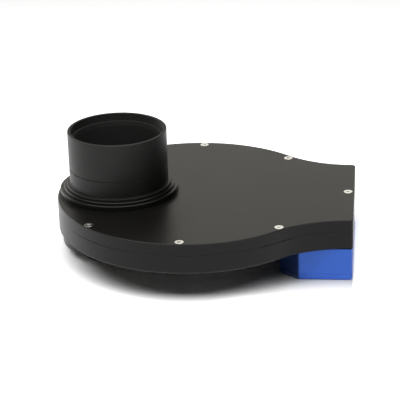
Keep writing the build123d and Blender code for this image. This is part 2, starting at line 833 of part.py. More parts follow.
# ---------------------------------------------------------------- electronics
with BuildPart() as controller_board:
    with BuildSketch(Plane.XY.offset(board_bottom)):
        add(drive_inner_outline.sketch)
        offset(amount=-board_edge_gap, kind=Kind.INTERSECTION)
        with Locations((board_right, 0)):
            Rectangle(
                board_right - board_left,
                2 * drive_half_width,
                align=(Align.MAX, Align.CENTER),
                mode=Mode.INTERSECT,
            )
        with Locations(*drive_screw_points):
            Circle(screw_boss_radius + window_gap, mode=Mode.SUBTRACT)
        with Locations((pinion_x, 0)):
            Circle(motor_radius + board_motor_gap, mode=Mode.SUBTRACT)
        with Locations(*board_screw_points):
            Circle(small_screw_radius + hole_gap, mode=Mode.SUBTRACT)
    extrude(amount=board_thickness)

with BuildPart() as board_screws:
    with Locations(Plane.XY.offset(board_top)):
        with Locations(*board_screw_points):
            add(pan_screw(board_thickness + small_screw_grip))

with BuildPart() as usb_socket:
    with BuildSketch(Plane.YZ.offset(drive_right - socket_wall)):
        with Locations((socket_y, usb_middle)):
            Rectangle(usb_width, usb_height)
    extrude(amount=-usb_depth)
    with BuildSketch(Plane.YZ.offset(drive_right - socket_wall)):
        with Locations((socket_y, usb_middle)):
            Rectangle(usb_width - 2 * socket_wall, usb_height - 2 * socket_wall)
            Rectangle(usb_tongue_width, usb_tongue_height, mode=Mode.SUBTRACT)
    extrude(amount=-usb_depth + 2 * socket_wall, mode=Mode.SUBTRACT)

with BuildPart() as power_socket:
    with BuildSketch(Plane.YZ.offset(drive_right - drive_wall - slide_gap)):
        with Locations((-socket_y, power_middle)):
            Rectangle(power_width, power_height)
    extrude(amount=-power_depth)
    with BuildSketch(Plane.YZ.offset(drive_right - drive_wall - slide_gap)):
        with Locations((-socket_y, power_middle)):
            Circle(power_face_radius)
    extrude(amount=drive_wall - socket_wall)
    with BuildSketch(Plane.YZ.offset(drive_right - socket_wall - slide_gap)):
        with Locations((-socket_y, power_middle)):
            Circle(power_hole_radius)
            Circle(power_pin_radius, mode=Mode.SUBTRACT)
    extrude(amount=-power_depth + 2 * socket_wall, mode=Mode.SUBTRACT)

with BuildPart() as board_chips:
    with BuildSketch(Plane.XY.offset(board_top)):
        with Locations((board_chip_x, chip_y)):
            Rectangle(controller_chip_size, controller_chip_size)
        with Locations((board_chip_x, -chip_y)):
            Rectangle(driver_chip_width, driver_chip_length)
    extrude(amount=chip_height)

with BuildPart() as sensor_board:
    with BuildSketch(Plane.XY.offset(floor_top - sensor_pocket_depth)):
        with Locations((sensor_x, 0)):
            Rectangle(sensor_board_width, sensor_board_length)
    extrude(amount=sensor_board_thickness)

with BuildPart() as hall_sensor:
    with BuildSketch(Plane.XY.offset(floor_top - sensor_pocket_depth + sensor_board_thickness)):
        with Locations((sensor_x, 0)):
            Rectangle(sensor_chip_size, sensor_chip_size)
    extrude(amount=sensor_chip_height)

# ---------------------------------------------------------------- export
parts = {
    "top_cover": top_cover.part,
    "lower_housing": lower_housing.part,
    "cover_screws": cover_screws.part,
    "nosepiece": nosepiece.part,
    "top_ring": top_ring.part,
    "top_ring_screws": top_ring_screws.part,
    "camera_ring": camera_ring.part,
    "camera_ring_screws": camera_ring_screws.part,
    "carousel": carousel.part,
    "home_magnet": home_magnet.part,
    "filter_retainers": filter_retainers.part,
    "bearing_outer_ring": bearing_outer_ring.part,
    "bearing_inner_ring": bearing_inner_ring.part,
    "bearing_balls": bearing_balls.part,
    "bearing_cage": bearing_cage.part,
    "carousel_post": carousel_post.part,
    "post_washer": post_washer.part,
    "post_screw": post_screw.part,
    "gear_motor": gear_motor.part,
    "motor_screws": motor_screws.part,
    "motor_shaft": motor_shaft.part,
    "drive_pinion": drive_pinion.part,
    "pinion_grub_screw": pinion_grub_screw.part,
    "drive_housing": drive_housing.part,
    "drive_cover": drive_cover.part,
    "drive_cover_screws": drive_cover_screws.part,
    "controller_board": controller_board.part,
    "board_screws": board_screws.part,
    "usb_socket": usb_socket.part,
    "power_socket": power_socket.part,
    "board_chips": board_chips.part,
    "sensor_board": sensor_board.part,
    "hall_sensor": hall_sensor.part,
}
filter_names = ("luminance", "red", "green", "blue", "h_alpha", "o_iii", "s_ii")
for filter_name, (x, y) in zip(filter_names, filter_points):
    parts[f"cell_{filter_name}"] = filter_cell.part.moved(Location((x, y, 0)))
    parts[f"glass_{filter_name}"] = filter_glass.part.moved(Location((x, y, 0)))

for name, part in parts.items():
    part.label = name
    export_step(part, f"parts/{name}.step")
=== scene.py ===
"""Finishes, fine surfaces and studio for a motorised optical filter wheel.

Metres, +Z up along the optical axis, +X to the drive end. The origin lies on that axis at the tip
of the camera side ring, level with the underside of the drive housing.
"""

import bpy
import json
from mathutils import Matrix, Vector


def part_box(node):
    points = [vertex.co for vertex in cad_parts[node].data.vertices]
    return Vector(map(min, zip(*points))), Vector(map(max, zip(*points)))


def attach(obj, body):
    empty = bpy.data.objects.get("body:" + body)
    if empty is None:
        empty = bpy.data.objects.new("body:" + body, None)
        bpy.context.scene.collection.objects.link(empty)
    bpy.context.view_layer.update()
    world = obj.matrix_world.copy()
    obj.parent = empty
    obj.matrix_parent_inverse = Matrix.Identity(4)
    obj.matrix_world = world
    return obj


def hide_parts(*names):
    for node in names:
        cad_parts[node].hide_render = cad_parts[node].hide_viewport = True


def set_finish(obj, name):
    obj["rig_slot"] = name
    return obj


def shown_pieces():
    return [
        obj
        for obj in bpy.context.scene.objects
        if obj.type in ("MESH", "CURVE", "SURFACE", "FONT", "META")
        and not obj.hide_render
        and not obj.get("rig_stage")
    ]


bl_info = {
    "name": "Optical filter wheel",
    "version": (1, 0, 0),
    "blender": (4, 5, 0),
    "location": "View3D > Sidebar > Filter Wheel",
    "description": "Builds the fine surfaces, finishes and studio of an optical filter wheel",
    "category": "Object",
}

import json

import bmesh
import bpy
import numpy as np
from bpy.props import FloatProperty, FloatVectorProperty, IntProperty, PointerProperty
from mathutils import Euler, Matrix

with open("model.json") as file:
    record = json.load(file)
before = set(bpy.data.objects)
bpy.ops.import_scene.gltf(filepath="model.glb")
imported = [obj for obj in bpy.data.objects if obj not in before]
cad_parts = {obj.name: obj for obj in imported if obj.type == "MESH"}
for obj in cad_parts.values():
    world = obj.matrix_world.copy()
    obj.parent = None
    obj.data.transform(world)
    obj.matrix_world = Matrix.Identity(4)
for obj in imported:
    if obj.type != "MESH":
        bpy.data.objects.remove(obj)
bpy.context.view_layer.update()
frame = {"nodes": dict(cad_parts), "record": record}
NODES = frame["nodes"]
JOINTS = {joint["name"]: joint for joint in frame["record"]["behaviour"]["joints"]}
CAROUSEL_X = JOINTS["carousel_spin"]["pos_m"][0]
BODY_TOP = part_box("top_cover")[1].z
BODY_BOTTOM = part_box("camera_ring")[1].z
END_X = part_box("top_cover")[1].x
MM = 0.001
FULL_TURN = 2 * np.pi
WALL_MARGIN = 0.1 * MM
MERGE_DISTANCE = 0.0008 * MM
COVER_SCREW_ANGLES = (45, 90, 135, 225, 270, 315)
RING_SCREWS = 4
FLOOR_REACH = 0.72
FLOOR_GAP = 0.05 * MM
# Painted shadow on the floor: how many times more the distance counts beside and behind the drive
# housing.
PAINTED_SHADOW_FAR_SIDE = 40


# ------------------------------------------------------------------ surfaces
def rounded(corners, radii, steps=5, support_share=0.35, longest_support=0.03 * MM):
    """Points of a closed outline with each corner turned into an arc.

    An arc of radius R in a corner that turns by T starts R tan(T / 2) before the corner. Its centre
    lies R to the inner side of that start, and its points are the start turned about the centre by
    even shares of T. A support point on each side keeps the flats next to it flat in the shading.
    """
    corners = np.asarray(corners, float)
    radii = np.asarray(radii, float)[:, None]
    ahead = np.roll(corners, -1, axis=0) - corners
    ahead /= np.linalg.norm(ahead, axis=1, keepdims=True)
    before = np.roll(ahead, 1, axis=0)
    cross = before[:, 0] * ahead[:, 1] - before[:, 1] * ahead[:, 0]
    turn = np.arctan2(cross, (before * ahead).sum(axis=1))[:, None]
    reach = radii * np.tan(np.abs(turn) / 2)
    side = np.sign(turn) * np.stack([-before[:, 1], before[:, 0]], axis=1)
    start = corners - before * reach
    centre = start + side * radii
    angle = turn * np.linspace(0, 1, steps)
    spoke = start - centre
    arc = np.stack(
        [
            centre[:, :1] + spoke[:, :1] * np.cos(angle) - spoke[:, 1:] * np.sin(angle),
            centre[:, 1:] + spoke[:, :1] * np.sin(angle) + spoke[:, 1:] * np.cos(angle),
        ],
        axis=2,
    )
    support = np.minimum(radii * support_share, longest_support)
    first = (start - before * support)[:, None]
    last = (corners + ahead * (reach + support))[:, None]
    return np.concatenate([first, arc, last], axis=1).reshape(-1, 2)


def grid_quads(rows, columns, wrap_rows=False, wrap_columns=True):
    """Corner numbers of the quads of a grid of points, row by row, closed on itself where it wraps."""
    row = np.arange(rows if wrap_rows else rows - 1)[:, None]
    column = np.arange(columns if wrap_columns else columns - 1)[None, :]
    next_row = (row + 1) % rows
    next_column = (column + 1) % columns
    quads = np.stack(
        [
            row * columns + column,
            row * columns + next_column,
            next_row * columns + next_column,
            next_row * columns + column,
        ],
        axis=-1,
    )
    return quads.reshape(-1, 4)


def turned(profile, segments, swell=None):
    """A profile of (radius, height) points turned about Z: x = r cos a, y = r sin a, z = h.

    swell(radius, height, angle) adds to the radius, so that a thread can wind along the surface.
    """
    angle = np.linspace(0, FULL_TURN, segments, endpoint=False)[None, :]
    radius = profile[:, :1]
    height = profile[:, 1:]
    if swell is not None:
        radius = radius + swell(radius, height, angle)
    radius = np.broadcast_to(radius, (len(profile), segments))
    height = np.broadcast_to(height, radius.shape)
    points = np.stack([radius * np.cos(angle), radius * np.sin(angle), height], axis=-1)
    return points.reshape(-1, 3), grid_quads(len(profile), segments, wrap_rows=True)


def thread(wall, low, high, pitch, depth, flank=1.35, root=0.15):
    """A thread on the wall of this radius, for turned: a V wave in height / pitch - angle / turn.

    It is cut outwards into a bore. With p the fraction of that value, its depth is the share
    flank (1 - |2 p - 1|) - root, kept between 0 and 1, and it fades over one pitch at both ends.
    """

    def swell(radius, height, angle):
        phase = (height / pitch - angle / FULL_TURN) % 1
        wave = np.clip(flank * (1 - np.abs(2 * phase - 1)) - root, 0, 1)
        fade = np.clip((height - low) / pitch, 0, 1) * np.clip((high - height) / pitch, 0, 1)
        return depth * wave * fade * (np.abs(radius - wall) < WALL_MARGIN)

    return swell


def solid(name, points, quads, slot, stands_for, body="housing", crease=32.0, uv=None):
    """A closed mesh object from points and quads, riding on a body in place of its plain nodes."""
    mesh = bpy.data.meshes.new(name)
    mesh.from_pydata(points.tolist(), [], quads.tolist())
    if uv is not None:
        layer = mesh.uv_layers.new(name="turned")
        corner = np.zeros(len(mesh.loops), np.int32)
        mesh.loops.foreach_get("vertex_index", corner)
        layer.data.foreach_set("uv", uv[corner].astype(np.float32).ravel())
    shape = bmesh.new()
    shape.from_mesh(mesh)
    bmesh.ops.remove_doubles(shape, verts=shape.verts, dist=MERGE_DISTANCE)
    bmesh.ops.dissolve_degenerate(shape, edges=shape.edges, dist=MERGE_DISTANCE / 2)
    bmesh.ops.recalc_face_normals(shape, faces=shape.faces)
    shape.to_mesh(mesh)
    shape.free()
    mesh.shade_smooth()
    mesh.set_sharp_from_angle(angle=np.radians(crease))
    piece = bpy.data.objects.new(name, mesh)
    bpy.context.scene.collection.objects.link(piece)
    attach(piece, body)
    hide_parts(*stands_for)
    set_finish(piece, slot)
    return piece


def holed_ring(inner, outer, height, holes, circle, hole_radius, arc_steps, side_steps=6):
    """A flat ring with round holes on a circle, one patch of the grid to each hole.

    A patch runs from its hole out to the edge of its part of the ring: outer arc, straight side,
    inner arc, straight side. Each point lies some of the way from the hole's rim to that edge, along
    the line from the hole's centre. Returns the directions of those lines too.
    """
    half = np.pi / holes
    sweep = np.linspace(-half, half, arc_steps + 1)
    step = np.linspace(0, 1, side_steps + 1)
    across = outer + (inner - outer) * step
    edge_radius = np.concatenate(
        [np.full(arc_steps, outer), across[:-1], np.full(arc_steps, inner), across[::-1][:-1]]
    )
    edge_angle = np.concatenate(
        [sweep[:-1], np.full(side_steps, half), sweep[::-1][:-1], np.full(side_steps, -half)]
    )
    edge = np.stack([edge_radius * np.cos(edge_angle), edge_radius * np.sin(edge_angle)], axis=1)
    centre = np.array([circle, 0.0])
    outward = edge - centre
    direction = outward / np.linalg.norm(outward, axis=1, keepdims=True)
    rim = centre + direction * hole_radius
    way = np.array([0.0, 0.12, 0.5, 1.0])[:, None, None]
    patch = rim + (edge - rim) * way
    turn = (np.arange(holes) * 2 + 1) * half
    spin = np.array([[np.cos(turn), -np.sin(turn)], [np.sin(turn), np.cos(turn)]])
    placed = np.einsum("ijh,rcj->hrci", spin, patch)
    flat = np.concatenate([placed, np.full(placed.shape[:-1] + (1,), height)], axis=-1)
    quads = grid_quads(len(way), len(edge))
    every = quads[None] + (np.arange(holes) * len(way) * len(edge))[:, None, None]
    return flat.reshape(-1, 3), every.reshape(-1, 4), direction


def hole_walls(profile, holes, circle, direction):
    """The walls of the same holes: (radius, height) points turned about each hole's own axis."""
    half = np.pi / holes
    turn = (np.arange(holes) * 2 + 1) * half
    spin = np.array([[np.cos(turn), -np.sin(turn)], [np.sin(turn), np.cos(turn)]])
    local = np.array([circle, 0.0]) + profile[:, None, :1] * direction[None]
    placed = np.einsum("ijh,rcj->hrci", spin, local)
    height = np.broadcast_to(profile[None, :, None, 1:], placed.shape[:-1] + (1,))
    points = np.concatenate([placed, height], axis=-1)
    quads = grid_quads(len(profile), len(direction))
    every = quads[None] + (np.arange(holes) * len(profile) * len(direction))[:, None, None]
    return points.reshape(-1, 3), every.reshape(-1, 4)


def joined(*surfaces):
    """Several (points, quads) surfaces as one."""
    starts = np.cumsum([0] + [len(points) for points, quads in surfaces[:-1]])
    points = np.concatenate([points for points, quads in surfaces])
    quads = np.concatenate([quads + start for (_, quads), start in zip(surfaces, starts)])
    return points, quads


# ------------------------------------------------------------------ shader maths
class Wire:
    """A value in a node tree. Operators on it add Math nodes, and make adds any other node."""

    def __init__(self, tree, socket=None):
        self.tree = tree
        self.socket = socket

    def make(self, kind, settings=None, inputs=None, output=0):
        """Adds a node of a type: first its settings, then the values or links of its sockets."""
        node = self.tree.nodes.new(kind)
        for name, value in (settings or {}).items():
            setattr(node, name, value)
        for name, value in (inputs or {}).items():
            if isinstance(value, Wire):
                self.tree.links.new(value.socket, node.inputs[name])
            else:
                node.inputs[name].default_value = value
        return Wire(self.tree, node.outputs[output] if node.outputs else None)

    def maths(self, operation, *values):
        """A Math node on these values."""
        return self.make("ShaderNodeMath", {"operation": operation}, dict(enumerate(values)))

    def __add__(self, other):
        return self.maths("ADD", self, other)

    __radd__ = __add__

    def __mul__(self, other):
        return self.maths("MULTIPLY", self, other)

    __rmul__ = __mul__

    def __sub__(self, other):
        return self.maths("SUBTRACT", self, other)

    def __rsub__(self, other):
        return self.maths("SUBTRACT", other, self)

    def __truediv__(self, other):
        return self.maths("DIVIDE", self, other)

    def __pow__(self, other):
        return self.maths("POWER", self, other)

    def __lt__(self, other):
        return self.maths("LESS_THAN", self, other)

    def __gt__(self, other):
        return self.maths("GREATER_THAN", self, other)

    def sin(self):
        return self.maths("SINE", self)

    def smooth(self, low, high):
        """0 below low, 1 above high and a smooth step between them."""
        return self.make(
            "ShaderNodeMapRange",
            {"interpolation_type": "SMOOTHSTEP"},
            {"Value": self, "From Min": low, "From Max": high},
        )

    def blend(self, low, high):
        """A colour between two colours, by this value."""
        pair = [value if isinstance(value, Wire) else (*value, 1) for value in (low, high)]
        settings = {"data_type": "RGBA"}
        return self.make("ShaderNodeMix", settings, {0: self, 6: pair[0], 7: pair[1]}, output=2)


class Finish(Wire):
    """A material on one Principled surface, with its pattern on Object coordinates."""

    def __init__(self, name, **surface):
        self.material = bpy.data.materials.new(name)
        self.material.use_nodes = True
        super().__init__(self.material.node_tree)
        self.tree.nodes.clear()
        self.surface = self.tree.nodes.new("ShaderNodeBsdfPrincipled")
        out = self.tree.nodes.new("ShaderNodeOutputMaterial")
        self.tree.links.new(self.surface.outputs[0], out.inputs["Surface"])
        self.set(**surface)
        self.place = self.make("ShaderNodeTexCoord", output="Object")

    def set(self, **surface):
        """Puts values or wires on the surface's sockets, a _ for each space in their names."""
        for name, value in surface.items():
            socket = self.surface.inputs[name.replace("_", " ").title().replace("Ior", "IOR")]
            if isinstance(value, Wire):
                self.tree.links.new(value.socket, socket)
            else:
                socket.default_value = value

    def axis(self, letter):
        """One coordinate of the place on the object, in metres."""
        return self.make("ShaderNodeSeparateXYZ", None, {0: self.place}, output=letter)

    def grain(self, size, detail=3.0, stretch=None, roughness=0.55):
        """Cloudy noise with features of about a size in metres, stretched along an axis if asked."""
        place = self.place
        if stretch:
            place = self.make("ShaderNodeMapping", None, {"Vector": place, "Scale": stretch})
        values = {"Vector": place, "Scale": 1 / size, "Detail": detail, "Roughness": roughness}
        return self.make("ShaderNodeTexNoise", None, values)

    def bump(self, height, distance):
        """Gives the surface the relief of a height from 0 to 1, in metres at 1."""
        values = {"Height": height, "Distance": distance, "Strength": 1.0}
        self.set(normal=self.make("ShaderNodeBump", None, values))


# ------------------------------------------------------------------ sizes and colours a user can change
def length(name, description, millimetres):
    """A property for a length, shown with its unit."""
    return FloatProperty(
        name=name, description=description, default=millimetres * MM, min=0, unit="LENGTH", precision=5
    )


def tint(name, description, color):
    """A property for a colour."""
    return FloatVectorProperty(
        name=name, description=description, default=color, subtype="COLOR", size=3, min=0, max=1
    )


def share(name, description, value, top=1.0):
    """A property for a plain number from 0."""
    return FloatProperty(name=name, description=description, default=value, min=0, max=top)


def location(name, description, metres):
    """A property for a place, on the floor or in space."""
    return FloatVectorProperty(
        name=name,
        description=description,
        default=metres,
        size=len(metres),
        subtype="XYZ_LENGTH",
        unit="LENGTH",
        precision=4,
    )


def rotation(name, description, degrees):
    """A property for an angle."""
    return FloatProperty(
        name=name, description=description, default=np.radians(degrees), subtype="ANGLE", precision=5
    )


class BarrelSettings(bpy.types.PropertyGroup):
    """Sizes of the nosepiece barrel."""

    radius: length("Barrel radius", "Radius of the two inch barrel", 25.4)
    collar_radius: length("Collar radius", "Radius of the collar that stops the barrel", 27.0)
    collar_height: length("Collar height", "Height of that collar", 1.3)
    ring_height: length("Ring height", "Height of the stepped ring above the cover", 3.9)
    spigot_radius: length("Spigot radius", "Radius of the spigot in the stepped ring", 20.9)
    path_radius: length("Light path radius", "Radius of the narrowest bore", 18.5)
    floor_height: length("Floor height", "Thickness of the barrel's floor above the ring", 3.0)
    bore_radius: length("Bore radius", "Radius of the barrel's main bore", 22.0)
    relief_radius: length("Relief radius", "Top radius of the tapered relief under the thread", 22.3)
    relief_height: length("Relief height", "Height of that relief", 2.4)
    mouth_radius: length("Mouth radius", "Crest radius of the thread in the mouth", 23.7)
    mouth_depth: length("Mouth depth", "Depth of the threaded mouth", 3.75)
    groove_height: length("Groove height", "Height of the turned groove above the cover", 13.8)
    groove_width: length("Groove width", "Width of the turned groove", 0.5)
    groove_depth: length("Groove depth", "Depth of the turned groove", 0.3)
    edge: length("Edge rounding", "Rounding of the outer edges", 0.3)
    pitch: length("Thread pitch", "Pitch of the thread in the mouth", 0.75)
    thread_depth: length("Thread depth", "Depth of that thread", 0.3)
    segments: IntProperty(name="Segments", description="Points around", default=240, min=24)


class CameraRingSettings(bpy.types.PropertyGroup):
    """Sizes of the threaded ring on the camera side."""

    thread_radius: length("Thread radius", "Crest radius of the camera thread", 20.6)
    thread_length: length("Thread length", "Length of the camera thread from the tip", 8.0)
    thread_depth: length("Thread depth", "Depth of its groove", 0.38)
    pitch: length("Thread pitch", "Pitch of the camera thread", 0.75)
    stub_radius: length("Stub radius", "Radius of the stub round the thread", 22.0)
    stub_length: length("Stub length", "Length of the stub below the flange", 6.0)
    flange_radius: length("Flange radius", "Radius of the deep flange under the housing", 30.5)
    path_radius: length("Light path radius", "Radius of the bore above the thread", 18.5)
    edge: length("Edge rounding", "Rounding of the ring's edges", 0.3)
    screw_circle: length("Screw circle", "Radius of the circle of flange screws", 26.35)
    head_radius: length("Countersink radius", "Widest radius of a countersink", 2.4)
    hole_radius: length("Hole radius", "Radius of a screw hole", 1.4)


class ScrewSettings(bpy.types.PropertyGroup):
    """Sizes of the countersunk hexagon socket screws."""

    head_radius: length("Head radius", "Radius of a countersunk head", 2.35)
    shank_radius: length("Shank radius", "Radius of the threaded shank", 1.2)
    socket_radius: length("Socket radius", "Radius to the corners of the hexagon socket", 0.95)
    socket_depth: length("Socket depth", "Depth of the hexagon socket", 0.8)
    edge: length("Edge rounding", "Rounding of the head and of the socket's mouth", 0.07)
    drill_radius: length("Drill radius", "Radius of the flat floor of the socket's drill hole", 0.5225)
    drill_point: length("Drill point", "Depth of the drill's point below the socket", 0.16)
    circle: length("Cover screw circle", "Radius of the cover's screw circle", 66.5)
    end_inset: length("End screw inset", "Distance of the end screw from the end face", 3.2)


class FinishSettings(bpy.types.PropertyGroup):
    """Colours and roughness of the finishes."""

    black: tint("Black anodising", "Colour of the black housing", (0.003, 0.0029, 0.0027))
    black_roughness: share("Black roughness", "Roughness of the blasted black surface", 0.33)
    barrel_roughness: share("Barrel roughness", "Roughness of the turned black surface", 0.4)
    bore: tint("Bore black", "Colour of the matte black inside the barrel", (0.014, 0.014, 0.014))
    mouth: tint("Mouth black", "Colour of the matte black rim and thread", (0.003, 0.003, 0.003))
    bore_roughness: share("Bore roughness", "Roughness of the matte black inside the barrel", 0.65)
    blue: tint("Blue anodising", "Colour of the drive housing", (0.0315, 0.131, 0.6))
    blue_roughness: share("Blue roughness", "Roughness of the blue surface", 0.36)
    # These three settings paint shade on the blue: from the drive housing's inner end, the cut back
    # corners that lie under the body are darkened.
    painted_shade_length: length("Cut length", "Length of the deep blue from the housing's inner end", 10.6)
    painted_shade_blend: length("Cut blend", "Width over which the blue deepens towards that end", 1.8)
    painted_shade_level: share("Cut shade", "Share of the blue's brightness on the cut back corners", 0.17)
    steel: tint("Stainless steel", "Colour of the screws", (0.82, 0.81, 0.79))


class StudioSettings(bpy.types.PropertyGroup):
    """Camera and light."""

    sky: share("Ambient light", "Brightness of the light from all round on the object", 0.035, 10)
    lamp: share("Lamp brightness", "Brightness of the soft lamp above, where 1 is white", 3.4, 10)
    lamp_width: length("Lamp width", "Width of the soft lamp, left to right", 1800)
    lamp_depth: length("Lamp depth", "Depth of the soft lamp, front to back", 850)
    lamp_height: length("Lamp height", "Height of the soft lamp above the floor", 1000)
    lamp_offset: location("Lamp offset", "Place of its middle from the carousel axis", (-0.02, -0.4))
    dark_card_width: length("Dark card width", "Width of the black card on the right", 1800)
    dark_card_height: length("Dark card height", "Height of that card", 900)
    dark_card_place: location("Dark card place", "Place of its middle", (0.8, 0.5))
    light_card_width: length("Light card width", "Width of the lit card on the left", 500)
    light_card_height: length("Light card height", "Height of that card", 500)
    light_card_place: location("Light card place", "Place of its middle", (-0.62, 0.5))
    light_card_level: share("Light card level", "Brightness of the lit card", 4.5, 20)
    # Painted shadow: the floor is greyed round the drive housing's foot over this width.
    painted_shadow_reach: length("Contact reach", "Width of the grey round the drive housing's foot", 28)
    floor: share("Floor", "Share of the light that the floor gives back", 0.6)
    floor_gain: share("Floor gain", "How much brighter the floor looks than it lights", 1.4, 6)
    room: share("Room", "Brightness of the room round the floor to look at", 1.12, 10)
    room_color: tint("Room colour", "Colour of that room", (1.0, 0.97, 0.895))
    camera_place: location("Camera place", "Place of the camera", (0.1307, -0.8324, 0.3717))
    camera_tilt: rotation("Camera tilt", "Turn from straight down", 67.614)
    camera_heading: rotation("Camera heading", "Turn about the vertical", 6.108)
    camera_roll: rotation("Camera roll", "Turn about the line of sight", -1.734)
    lens: FloatProperty(name="Lens", description="Focal length", default=157.7, unit="CAMERA")
    sensor: FloatProperty(name="Sensor", description="Sensor width", default=36.0, unit="CAMERA")


# ------------------------------------------------------------------ operators
class WheelOperator(bpy.types.Operator):
    """Shared settings of the operators."""

    bl_options = {"REGISTER", "UNDO"}


class FILTERWHEEL_OT_nosepiece(WheelOperator):
    """Builds the turned barrel with its threaded mouth, groove and collar"""

    bl_idname = "filter_wheel.nosepiece"
    bl_label = "Nosepiece"

    def execute(self, context):
        size = context.scene.barrel_settings
        low, high = (corner.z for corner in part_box("nosepiece"))
        ring_top = BODY_TOP + size.ring_height
        collar_top = ring_top + size.collar_height
        groove = BODY_TOP + size.groove_height
        mouth_floor = high - size.mouth_depth
        relief_floor = mouth_floor - size.relief_height
        floor = ring_top + size.floor_height
        fine = size.edge / 3
        outline = [
            (size.path_radius, low, fine),
            (size.spigot_radius, low, fine),
            (size.spigot_radius, ring_top, 0),
            (size.collar_radius, ring_top, fine),
            (size.collar_radius, collar_top, size.edge),
            (size.radius, collar_top, fine),
            (size.radius, groove - size.groove_width / 2, fine / 2),
            (size.radius - size.groove_depth, groove - size.groove_width / 4, fine / 2),
            (size.radius - size.groove_depth, groove + size.groove_width / 4, fine / 2),
            (size.radius, groove + size.groove_width / 2, fine / 2),
            (size.radius, high, size.edge),
            (size.mouth_radius, high, size.edge),
        ]
        bore = [
            (size.mouth_radius, mouth_floor, 0),
            (size.relief_radius, mouth_floor, fine),
            (size.bore_radius, relief_floor, size.relief_height / 3),
            (size.bore_radius, floor, fine),
            (size.path_radius, floor, fine),
        ]
        wall_rows = 96
        corners = np.array(outline + bore)
        profile = rounded(corners[:, :2], corners[:, 2])
        split = len(outline) * (len(profile) // len(corners))
        top, bottom = high - 2 * size.edge, mouth_floor + fine
        dense = np.linspace(top, bottom, wall_rows)
        wall = np.stack([np.full_like(dense, size.mouth_radius), dense], axis=1)
        profile = np.concatenate([profile[:split], wall, profile[split:]])
        reach = (bottom, high - size.edge)
        winding = thread(size.mouth_radius, *reach, size.pitch, size.thread_depth)
        points, quads = turned(profile, size.segments, winding)
        solid("nosepiece_barrel", points, quads, "black_anodised_barrel", ["nosepiece"])
        return {"FINISHED"}


class FILTERWHEEL_OT_camera_ring(WheelOperator):
    """Builds the camera side ring with its thread and countersunk flange"""

    bl_idname = "filter_wheel.camera_ring"
    bl_label = "Camera ring"

    def execute(self, context):
        size = context.scene.camera_ring_settings
        seat = size.stub_length
        fine = size.edge / 2
        rim = size.flange_radius - size.edge
        sweep = np.linspace(0, np.pi / 2, 6)
        rounding = size.edge * np.stack([np.sin(sweep), 1 - np.cos(sweep)], axis=1)
        top_edge = [(size.flange_radius, BODY_BOTTOM - fine), (rim, BODY_BOTTOM)]
        outside = np.concatenate([np.array([rim, seat]) + rounding, top_edge])
        wall_rows = 170
        crest = np.linspace(size.thread_length, fine, wall_rows)
        wall = np.stack([np.full_like(crest, size.thread_radius), crest], axis=1)
        above = [
            (size.stub_radius, BODY_BOTTOM),
            (size.path_radius, BODY_BOTTOM),
            (size.path_radius, size.thread_length),
            (size.thread_radius, size.thread_length),
        ]
        tip = np.array([size.stub_radius - size.edge, 0]) + rounding
        mouth = [(size.thread_radius + fine, 0)]
        inside = np.concatenate([above, wall[1:], mouth, tip, [(size.stub_radius, seat)]])
        arc_steps = 48
        segments = arc_steps * RING_SCREWS
        reach = (0, size.thread_length)
        winding = thread(size.thread_radius, *reach, size.pitch, size.thread_depth)
        strips = []
        for profile in (outside, inside):
            points, quads = turned(profile, segments, winding)
            strips.append((points, quads[: (len(profile) - 1) * segments]))
        plate = (size.stub_radius, rim)
        holes = (RING_SCREWS, size.screw_circle)
        for height, radius in ((seat, size.head_radius), (BODY_BOTTOM, size.hole_radius)):
            points, quads, direction = holed_ring(*plate, height, *holes, radius, arc_steps)
            strips.append((points, quads))
        cone = size.head_radius - size.hole_radius
        countersink = [(size.head_radius, seat), (size.hole_radius, seat + cone)]
        hole = np.array(countersink + [(size.hole_radius, BODY_BOTTOM)])
        strips.append(hole_walls(hole, *holes, direction))
        points, quads = joined(*strips)
        solid("camera_thread_ring", points, quads, "black_anodised", ["camera_ring"])
        return {"FINISHED"}


